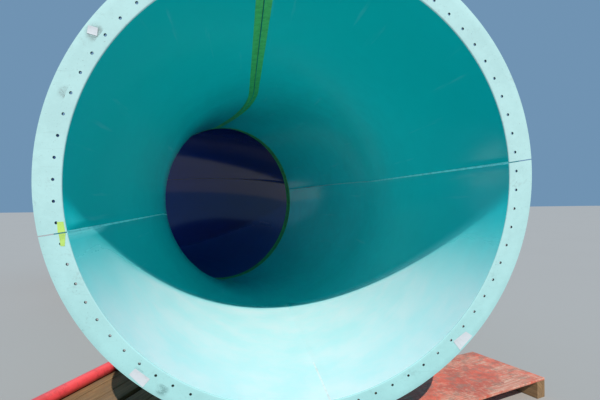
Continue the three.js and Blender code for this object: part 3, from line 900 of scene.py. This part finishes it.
def sawn(piece, start, along, across, length, width, height, seed, end_finish=0, corner=0.004):
    """A sawn timber: a rounded rectangle carried along a straight line from the middle of its first end's underside.
    Its faces wander inwards by under a millimetre and its corners are worn in places."""
    s = np.linspace(0, length, max(6, int(length / 0.05) + 1))
    worn = (corner * (1 + 0.6 * ripple(s * 25, 0, seed)))[:, None, None]
    w, h = width / 2, height / 2
    turn = np.arange(-1, 3)[:, None] * math.pi / 2 + np.linspace(0, math.pi / 2, 4)
    x, y = np.array([1, 1, -1, -1])[:, None], np.array([-1, 1, 1, -1])[:, None]
    corners = pair(x * (w - worn) + worn * np.cos(turn), y * (h - worn) + worn * np.sin(turn))
    leave, reach = corners[:, :, -1:], np.roll(corners, -1, 1)[:, :, :1]
    edges = leave + (reach - leave) * np.linspace(0, 1, 6)[1:-1, None]
    outline = np.concatenate([corners, edges], 2).reshape(len(s), -1, 2)
    run = run_along(outline[0])
    dent = 0.0006 * np.clip(ripple(s[:, None] * 30, run[None] * 45, seed + 1) + 0.2, 0, 1)
    outline *= 1 - dent[..., None] / max(w, h)
    grid = start + s[:, None, None] * along + outline[..., :1] * across + (outline[..., 1:] + h) * UP
    piece.tube(grid, pair(s[:, None] + seed * 1.7, run + seed), 0, end_finish)


def round_bar(piece, start, along, radius, length, seed):
    """A round bar: a circle carried along a line that bows by two millimetres, chamfered at its ends."""
    s = np.linspace(0, length, 48)
    s[1], s[-2] = 0.003, length - 0.003
    around = np.linspace(0, 2 * math.pi, 29)[:-1]
    shrink = np.ones((len(s), 1))
    shrink[[0, -1]] = 0.86
    r = radius * shrink * (1 + 0.006 * ripple(s[:, None] * 12, around * 2, seed))
    bow = 0.002 * np.sin(math.pi * s / length)[:, None]
    grid = (start + s[:, None, None] * along + np.cross(UP, along) * (r * np.cos(around) + bow)[..., None]
            + UP * (r * np.sin(around))[..., None])
    piece.tube(grid, pair(s[:, None], around * radius))


def patch_on_flange(piece, corners, thick, lift, curl):
    """A thin sheet lying on the near flange between four corners given as radius and angle: points are spread evenly
    between the corners both ways, and the sheet curls up towards its edges."""
    n = 9
    u, v = np.meshgrid(np.linspace(0, 1, n), np.linspace(0, 1, n), indexing="ij")
    c = np.array([polar(r, math.radians(a)) for r, a in corners])
    flat = np.stack([(1 - u) * (1 - v), u * (1 - v), u * v, (1 - u) * v], -1) @ c
    rise = (lift + curl * (np.abs(2 * u - 1) ** 3 + np.abs(2 * v - 1) ** 3))[..., None]
    right, forward, up = TEAL.axes(0.0)
    base = NEAR + flat[..., :1] * right + flat[..., 1:] * up
    sheet = np.stack([base - forward * (rise + thick), base - forward * rise])
    rows, cols = border(n - 1, n - 1)
    ring = rows * n + cols
    beyond = np.roll(ring, -1)
    face = grid_faces(n, n)
    edge = np.stack([ring, beyond, beyond + n * n, ring + n * n], -1)
    piece.add(sheet, np.stack([flat, flat]), np.concatenate([face, face[:, ::-1] + n * n, edge]))


def pallet_axes(corner, degrees):
    """A pallet's corner on the ground, measured from the near flange, and its two level directions."""
    along, across, _ = rotation("z", degrees).T
    return np.array([NEAR[0] + corner[0], NEAR[1] + corner[1], 0.0]), along, across


def ground_axes(course, s):
    """The point on the ground under a course, and the level directions along it and to its right."""
    p, q = course.at(np.array([s, s + 0.001]))
    ahead = (q - p) * [1, 1, 0]
    ahead /= np.linalg.norm(ahead)
    return p * [1, 1, 0], ahead, np.array([ahead[1], -ahead[0], 0.0])


# What a user would change

def span(name, text, default):
    return bpy.props.FloatProperty(name=name, description=text, default=default, min=0.0, unit="LENGTH", precision=4)


def tint(name, what, default):
    return bpy.props.FloatVectorProperty(name=name, description=f"Colour of {what}", default=default, size=3, min=0.0,
                                         max=1.0, subtype="COLOR")


def share(name, text, default, top=1.0, subtype="FACTOR"):
    return bpy.props.FloatProperty(name=name, description=text, default=default, min=0.0, max=top, subtype=subtype)


class SlideTubeSizes(bpy.types.PropertyGroup):
    bore_radius: span("Bore radius", "Radius of the smooth inside of the tube", BORE)
    flange_radius: span("Flange radius", "Outer radius of the end flanges", 1.339)
    hole_circle_radius: span("Hole circle radius", "Radius of the circle of the bolt holes", HOLE_CIRCLE)
    hole_radius: span("Hole radius", "Radius of a bolt hole", 0.007)
    seam_gap: span("Seam gap", "Gap between two quadrant mouldings", 0.006)
    bead_width: span("Bead width", "Width of the sealant where it spreads over a seam", 0.015)
    bare_sealant: span("Bare sealant", "Length of the bottom seam that has lost its gelcoat", 0.62)
    tape_width: span("Tape width", "Width of the masking tape", 0.048)
    bolt_spacing: span("Bolt spacing", "Distance between bolts along a seam", 0.25)


class SlideTubeFinishes(bpy.types.PropertyGroup):
    # The teal bore and the near flange are one gelcoat in two colours: the bore's saturated teal with almost no red
    # paints in the tint of its shade, and the flange's pale aqua the look of full sun. Painted shade and painted
    # light, with some real dust on the flange.
    teal: tint("Teal gelcoat", "the near section's bore", (0.004, 0.93, 0.95))
    # Pale colour for the bottom of the teal bore: part dust, part a painted highlight where the key light falls
    teal_dust_and_sun_pallor: tint("Dust on teal", "dust in the bottom of the teal bore", (0.78, 0.95, 0.965))
    flange: tint("Near flange", "the chalky near flange", (0.45, 0.693, 0.68))
    grime: tint("Grime", "hand marks and rubs on the flange", (0.30, 0.38, 0.37))
    teal_outside: tint("Teal outside", "the near section's laminate", (0.045, 0.36, 0.38))
    blue: tint("Blue gelcoat", "the far section's bore", (0.001, 0.045, 0.300))
    blue_outside: tint("Blue outside", "the far section's laminate", (0.010, 0.035, 0.12))
    # One sealant in two colours: the side seams' copy has almost no red, the teal cast of the bore's shade painted in;
    # the bare sealant at the mouth is the same sealant, white
    sealant: tint("Sealant", "the seam sealant", (0.28, 0.96, 0.98))
    bare_sealant: tint("Bare sealant", "the sealant at the mouth", (0.90, 1.0, 1.0))
    blue_sealant: tint("Sealant on blue", "the far section's seam sealant", (0.07, 0.08, 0.13))
    # One tape in two colours: the tape inside the bore has its red taken down, the teal cast of the bore's shade
    # painted in; the tape on the flange keeps the tape's own chartreuse and is not faded
    tape: tint("Masking tape", "the masking tape", (0.09, 0.60, 0.15))
    faded_tape: tint("Faded tape", "the tape left on the flange", (0.50, 0.74, 0.16))
    timber: tint("Timber", "the sawn timber", (0.30, 0.17, 0.07))
    timber_grey: tint("Weathered timber", "greyed timber", (0.21, 0.155, 0.10))
    red_paint: tint("Red paint", "the pallet paint", (0.80, 0.12, 0.06))
    red_enamel: tint("Red enamel", "the rail", (1.0, 0.08, 0.09))
    label: tint("Labels", "the bare labels", (0.62, 0.66, 0.69))
    # How strongly the pale bottom shows: dust and painted highlight together
    dust: share("Dust", "How much dust lies in the bottom of the bore", 1.0)


class SlideTubeStudio(bpy.types.PropertyGroup):
    floor: tint("Floor", "the studio floor", (0.42, 0.41, 0.39))
    surround: tint("Surround", "the soft light all round", (0.36, 0.65, 1.0))
    surround_strength: share("Surround strength", "Strength of the soft light all round", 0.45, 4.0)
    key_strength: share("Key strength", "Strength of the key light behind the camera", 3.8, 12.0)
    key_softness: share("Key softness", "Angle that the key light fills", math.radians(0.4), 1.0, "ANGLE")


# Both bores get the pale bottom where the key light reaches, part dust and part painted highlight, and the painted
# shade near the mouth
def bore_finish(section, f):
    if section == "teal":
        return named("teal_bore", bore_gelcoat, TEAL, f.teal, f.teal_dust_and_sun_pallor, f.dust)
    return named("blue_bore", bore_gelcoat, BLUE, f.blue, (0.004, 0.13, 0.42), f.dust * 0.5)


def sawn_timber(f):
    return [named("pallet_timber", timber_finish, f.timber, f.timber_grey, 2.0)]


def pallet_beams(side, places, first, last, across, along, wide, wood, seed):
    """A pallet's bearers, evenly spaced from the first place to the last."""
    for k, (place, start) in enumerate(zip(places, np.linspace(first, last, len(places)))):
        make(f"{side}_pallet_beam_{place}", wood, f"{side}_pallet_bearer_{place}", "sawn_timber",
             (sawn, start, across, along, wide, *PALLET_BEARER, seed + k))


class SLIDETUBE_OT_mouldings(bpy.types.Operator):
    """Build the four quadrant mouldings of each section, with the drilled flanges at the tube's two open ends"""
    bl_idname = "slide_tube.mouldings"
    bl_label = "Quadrant mouldings"

    def execute(self, context):
        size, f = context.scene.slide_tube_sizes, context.scene.slide_tube_finishes
        # Painted shade: the bolt holes' walls take a near-black laminate, standing in for the shade inside the holes
        hole_shade = named("drilled_laminate", laminate, (0.012, 0.035, 0.035), (0.05, 0.09, 0.09))
        teal = (named("teal_outside", laminate, f.teal_outside, (0.30, 0.62, 0.62)),
                named("teal_flange", flange_gelcoat, f.flange, f.grime, f.teal))
        blue = (named("blue_outside", laminate, f.blue_outside, (0.06, 0.10, 0.20)),
                named("blue_flange", flange_gelcoat, (0.015, 0.045, 0.14), (0.05, 0.07, 0.11), f.blue))
        for section, course, dress, near_drilled, seed in (("teal", TEAL, teal, True, 100),
                                                           ("blue", BLUE, blue, False, 200)):
            finishes = (bore_finish(section, f), *dress, hole_shade)
            for k, place in enumerate(QUADRANTS):
                given = (course, size, k * math.pi / 2)
                make(f"{section}_moulding_{place}", finishes, f"{section}_shell_{place}", f"{section}_gelcoat",
                     (shell_wall, *given, seed + k), (end_flange, *given, 0.0, 1, near_drilled),
                     (end_flange, *given, course.length, -1, not near_drilled))
        return {"FINISHED"}


class SLIDETUBE_OT_seam_sealant(bpy.types.Operator):
    """Run sealant into the seams; the bottom ones are gelled over, and the near top one holds a sunk strip of black
    rubber: painted shade in its open gap
    """
    bl_idname = "slide_tube.seam_sealant"
    bl_label = "Seam sealant"

    def execute(self, context):
        size, f = context.scene.slide_tube_sizes, context.scene.slide_tube_finishes
        # Painted shade: a black strip sunk in the near top seam stands in for the shade in its gap
        gap_shade = [named("backing_rod", rubber_finish)]
        bare_finish = named("bare_sealant", sealant_finish, f.bare_sealant)
        for section, course, colour, bare_length in (("teal", TEAL, f.sealant, size.bare_sealant),
                                                     ("blue", BLUE, f.blue_sealant, 0.0)):
            side = [named(f"{section}_sealant", sealant_finish, colour)]
            for k, place in enumerate(SEAMS):
                sunk, gelled = (section, place) == ("teal", "top"), place == "bottom"
                finishes = gap_shade if sunk else [bare_finish, bore_finish(section, f)] if gelled else side
                make(f"{section}_seam_bead_{place}", finishes, f"{section}_seam_sealant_{place}", "seam_sealant",
                     (seam_bead, course, size, k * math.pi / 2, sunk, bare_length if gelled else math.inf, 10 + k))
        return {"FINISHED"}


class SLIDETUBE_OT_joint(bpy.types.Operator):
    """Fit the gasket between the two sections and bolt the joint and the seams up"""
    bl_idname = "slide_tube.joint"
    bl_label = "Gasket and bolts"

    def execute(self, context):
        size = context.scene.slide_tube_sizes
        make("joint_gasket_ring", [named("black_rubber", rubber_finish)], "joint_gasket", "gasket_rubber",
             (gasket, size))
        zinc = [named("galvanised_steel", zinc_finish)]
        for name, *step in (("teal_seam_bolts", seam_bolts, TEAL, size, 3),
                            ("blue_seam_bolts", seam_bolts, BLUE, size, 5), ("joint_bolts", joint_bolts, size)):
            make(name, zinc, None, "teal_gelcoat", step, sharp=25)
        return {"FINISHED"}


class SLIDETUBE_OT_masking_tape(bpy.types.Operator):
    """Lay the tape along the top seam, round the joint and on the flange"""
    bl_idname = "slide_tube.masking_tape"
    bl_label = "Masking tape"

    def execute(self, context):
        size, f = context.scene.slide_tube_sizes, context.scene.slide_tube_finishes
        # Painted shade: the tape inside the bore carries the teal cast of its shade in its colour
        finish = [named("creped_tape", tape_finish, f.tape)]
        for side, place in ((1, "left"), (-1, "right")):
            make(f"top_seam_tape_{place}", finish, f"masking_tape_top_{place}", "masking_tape",
                 (tape_strip, TEAL, size, math.pi / 2, side, 20 + side))
        for place, course, start in (("near", TEAL, TEAL.length - size.tape_width), ("far", BLUE, 0.002)):
            make(f"joint_tape_{place}", finish, f"masking_tape_joint_{place}", "masking_tape",
                 (tape_ring, course, size, start, 30))
        own_tape = [named("faded_tape", tape_finish, f.faded_tape)]
        make("flange_tape_patches", own_tape, None, "masking_tape",
             *((patch_on_flange, corners, 0.0003, 0.0003, 0.0004) for corners in TAPE_PATCHES))
        return {"FINISHED"}


class SLIDETUBE_OT_bare_labels(bpy.types.Operator):
    """Stick three bare labels on the near flange"""
    bl_idname = "slide_tube.bare_labels"
    bl_label = "Bare labels"

    def execute(self, context):
        finish = [named("bare_label", paper_finish, context.scene.slide_tube_finishes.label)]
        make("flange_bare_labels", finish, None, "masking_tape",
             *((patch_on_flange, corners, 0.0002, 0.0003, 0.0009) for corners in LABELS))
        return {"FINISHED"}


class SLIDETUBE_OT_right_pallet(bpy.types.Operator):
    """Build the pallet at the near right, with its worn red panel"""
    bl_idname = "slide_tube.right_pallet"
    bl_label = "Right pallet"

    def execute(self, context):
        f = context.scene.slide_tube_finishes
        start, along, across = pallet_axes((2.060, 0.860), 20)
        long, wide, panel, (bearer_w, bearer_h) = 1.9, 0.7, 0.018, PALLET_BEARER
        outer, inner = start - along * bearer_w / 2, start - along * (long - bearer_w / 2)
        red = [named("worn_red_ply", red_ply_finish, f.red_paint, (0.72, 0.42, 0.31)),
               named("ply_edge", ply_edge_finish, (0.46, 0.33, 0.20))]
        first = start + across * wide / 2 + UP * bearer_h - along * long
        make("right_pallet_board", red, "right_pallet_red_panel", "red_painted_ply",
             (sawn, first, along, across, long, wide, panel, 61, 1, 0.002))
        pallet_beams("right", PALLET_PLACES, outer, inner, across, -along, wide, sawn_timber(f), 62)
        return {"FINISHED"}


class SLIDETUBE_OT_left_pallet(bpy.types.Operator):
    """Build the pallet at the near left, with its boards and red rail"""
    bl_idname = "slide_tube.left_pallet"
    bl_label = "Left pallet"

    def execute(self, context):
        f = context.scene.slide_tube_finishes
        start, along, across = pallet_axes((-1.930, 0.463), 64)
        long, wide, plank, plank_w, rail, (bearer_w, bearer_h) = 1.4, 1.45, 0.038, 0.45, 0.044, PALLET_BEARER
        wood, inner = sawn_timber(f), start - across * wide
        pallet_beams("left", ("front", "back"), inner + along * bearer_w / 2, inner + along * (long - bearer_w / 2),
                     across, along, wide, wood, 71)
        for k, place in enumerate(PALLET_PLACES):
            edge = start + UP * bearer_h - across * (wide - plank_w) * k / 2
            make(f"left_pallet_boards_{place}", wood, f"left_pallet_plank_{place}", "sawn_timber",
                 *((sawn, edge - across * plank_w * (board + 0.5) / 3, along, across, long, plank_w / 3 - 0.006, plank,
                    80 + 3 * k + board) for board in range(3)))
        make("left_pallet_rail", [named("red_enamel", enamel_finish, f.red_enamel)], "left_pallet_red_rail",
             "red_painted_rail",
             (round_bar, start - across * rail + UP * (bearer_h + plank + rail), along, rail, long, 90))
        return {"FINISHED"}


class SLIDETUBE_OT_dunnage(bpy.types.Operator):
    """Build the bearers under the joint and the far end, and give the saddle blocks their finish"""
    bl_idname = "slide_tube.dunnage"
    bl_label = "Bearers and saddles"

    def execute(self, context):
        f = context.scene.slide_tube_finishes
        long, wide = GROUND_BEARER
        for place, course, short_of_end, tall in (("joint", TEAL, 0.4, 0.10), ("far", BLUE, 0.45, 0.25)):
            start, ahead, right = ground_axes(course, course.length - short_of_end)
            for k, (side, sign) in enumerate((("front", -1), ("back", 1))):
                first = start + ahead * sign * 0.06 - right * long / 2
                make(f"{place}_beam_{side}", sawn_timber(f), f"{place}_bearer_{side}", "sawn_timber",
                     (sawn, first, right, -ahead, long, wide, tall, 95 + k))
        block = named("saddle_timber", block_finish, f.timber, f.timber_grey)
        for place in ("near", "joint", "far"):
            for side in ("left", "right"):
                data = frame["nodes"][f"{place}_saddle_{side}"].data
                data.materials.clear()
                data.materials.append(block)
        return {"FINISHED"}


class SLIDETUBE_OT_studio(bpy.types.Operator):
    """Lay the floor, set the lights and put the camera at the photograph's viewpoint"""
    bl_idname = "slide_tube.studio"
    bl_label = "Studio"

    def execute(self, context):
        scene, look = context.scene, context.scene.slide_tube_studio
        half = 60.0
        mesh = bpy.data.meshes.new("studio_floor")
        mesh.from_pydata([(-half, -half, 0), (half, -half, 0), (half, half, 0), (-half, half, 0)], [], [(0, 1, 2, 3)])
        mesh.uv_layers.new(name="lay")
        mesh.materials.append(named("studio_floor", floor_finish, look.floor))
        key = bpy.data.lights.new("key_light", "SUN")
        key.energy, key.angle, key.color = look.key_strength, look.key_softness, (1.0, 0.96, 0.90)
        camera = bpy.data.cameras.new("camera")
        camera.lens, camera.sensor_width = LENS_MM, 36.0
        camera.clip_start, camera.clip_end = 0.05, 200.0
        floor, lamp, eye = (put_in_scene(data) for data in (mesh, key, camera))
        lamp.rotation_euler = (math.radians(90 - KEY_HEIGHT), 0, 0)
        world = bpy.data.worlds.new("soft_surround")
        world.use_nodes = True
        background = world.node_tree.nodes["Background"].inputs
        background[0].default_value, background[1].default_value = rgba(look.surround), look.surround_strength
        scene.world = world
        ahead = np.array(LOOK) / np.linalg.norm(LOOK)
        right = np.array(EYE_RIGHT) - ahead * np.dot(EYE_RIGHT, ahead)
        right /= np.linalg.norm(right)
        place = np.eye(4)
        place[:3] = np.stack([right, np.cross(right, ahead), -ahead, NEAR + np.array(EYE)], -1)
        eye.matrix_world = Matrix(place.tolist())
        scene.camera = eye
        scene.view_settings.view_transform = "Standard"
        return {"FINISHED"}


class SLIDETUBE_PT_panel(bpy.types.Panel):
    """Lists the sizes, finishes and pieces of the slide tube"""
    bl_idname = "SLIDETUBE_PT_panel"
    bl_label = "Slide tube"
    bl_space_type = "VIEW_3D"
    bl_region_type = "UI"
    bl_category = "Slide tube"

    def draw(self, context):
        for group in (getattr(context.scene, name) for name in GROUPS):
            column = self.layout.column(align=True)
            for name in group.bl_rna.properties.keys():
                if name not in ("rna_type", "name"):
                    column.prop(group, name)
        for operator in OPERATORS:
            self.layout.operator(operator.bl_idname)


OPERATORS = (SLIDETUBE_OT_studio, SLIDETUBE_OT_mouldings, SLIDETUBE_OT_seam_sealant, SLIDETUBE_OT_joint,
             SLIDETUBE_OT_masking_tape, SLIDETUBE_OT_bare_labels, SLIDETUBE_OT_right_pallet,
             SLIDETUBE_OT_left_pallet, SLIDETUBE_OT_dunnage)
GROUPS = {"slide_tube_sizes": SlideTubeSizes, "slide_tube_finishes": SlideTubeFinishes,
          "slide_tube_studio": SlideTubeStudio}


def register():
    for kind in (*GROUPS.values(), *OPERATORS, SLIDETUBE_PT_panel):
        bpy.utils.register_class(kind)
    for name, kind in GROUPS.items():
        setattr(bpy.types.Scene, name, bpy.props.PointerProperty(type=kind))


def unregister():
    for name in GROUPS:
        delattr(bpy.types.Scene, name)
    for kind in (SLIDETUBE_PT_panel, *OPERATORS[::-1], *GROUPS.values()):
        bpy.utils.unregister_class(kind)


def main():
    register()
    for operator in OPERATORS:
        group, name = operator.bl_idname.split(".")
        getattr(getattr(bpy.ops, group), name)()
    bpy.context.view_layer.update()


if __name__ == "__main__":
    main()
